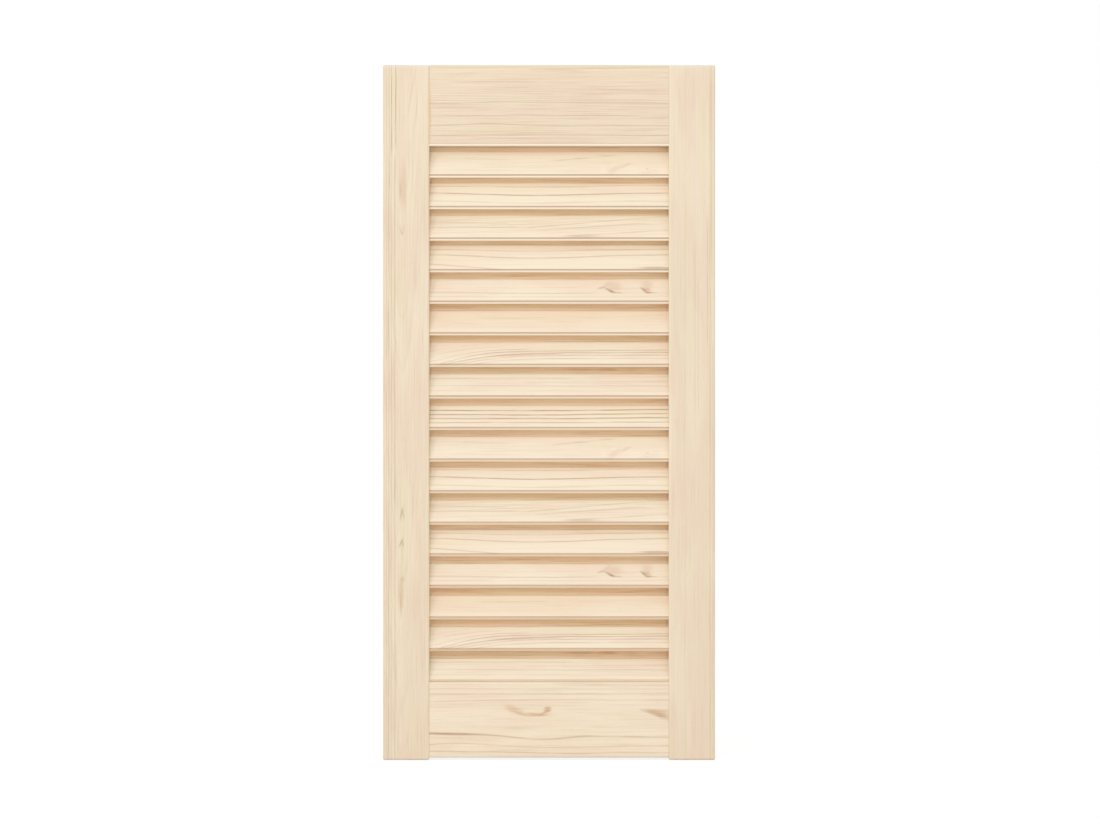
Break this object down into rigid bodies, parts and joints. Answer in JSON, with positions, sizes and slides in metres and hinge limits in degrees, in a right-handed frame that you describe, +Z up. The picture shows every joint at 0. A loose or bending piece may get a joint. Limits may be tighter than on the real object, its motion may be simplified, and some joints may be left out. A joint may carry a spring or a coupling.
{
  "type": "louvred cabinet door",
  "caption": "Tall narrow cabinet door in natural pine: a dowelled frame of stiles and rails filled with fixed slanted louvres that hide the inside and let air through.",
  "frame": {"origin": "on the floor line under the stile ends, midway between the stiles and midway through their thickness", "axes": "+Z up along the stiles, +X to the right as seen from the front, -Y out of the front face; the louvres slope down towards the front"},
  "size_m": [0.294, 0.021, 0.615],
  "materials": {
    "stile_pine": "natural pine, sanded",
    "rail_pine": "natural pine, sanded",
    "louvre_pine": "natural pine, planed",
    "dowel_beech": "raw beech"
  },
  "bodies": {
    "root": {"left_stile": "stile_pine", "right_stile": "stile_pine", "top_rail": "rail_pine", "bottom_rail": "rail_pine", "louvre_01": "louvre_pine", "louvre_02": "louvre_pine", "louvre_03": "louvre_pine", "louvre_04": "louvre_pine", "louvre_05": "louvre_pine", "louvre_06": "louvre_pine", "louvre_07": "louvre_pine", "louvre_08": "louvre_pine", "louvre_09": "louvre_pine", "louvre_10": "louvre_pine", "louvre_11": "louvre_pine", "louvre_12": "louvre_pine", "louvre_13": "louvre_pine", "louvre_14": "louvre_pine", "louvre_15": "louvre_pine", "louvre_16": "louvre_pine", "louvre_17": "louvre_pine", "dowel_top_left_upper": "dowel_beech", "dowel_top_left_lower": "dowel_beech", "dowel_top_right_upper": "dowel_beech", "dowel_top_right_lower": "dowel_beech", "dowel_bottom_left_upper": "dowel_beech", "dowel_bottom_left_lower": "dowel_beech", "dowel_bottom_right_upper": "dowel_beech", "dowel_bottom_right_lower": "dowel_beech"}
  },
  "joints": []
}
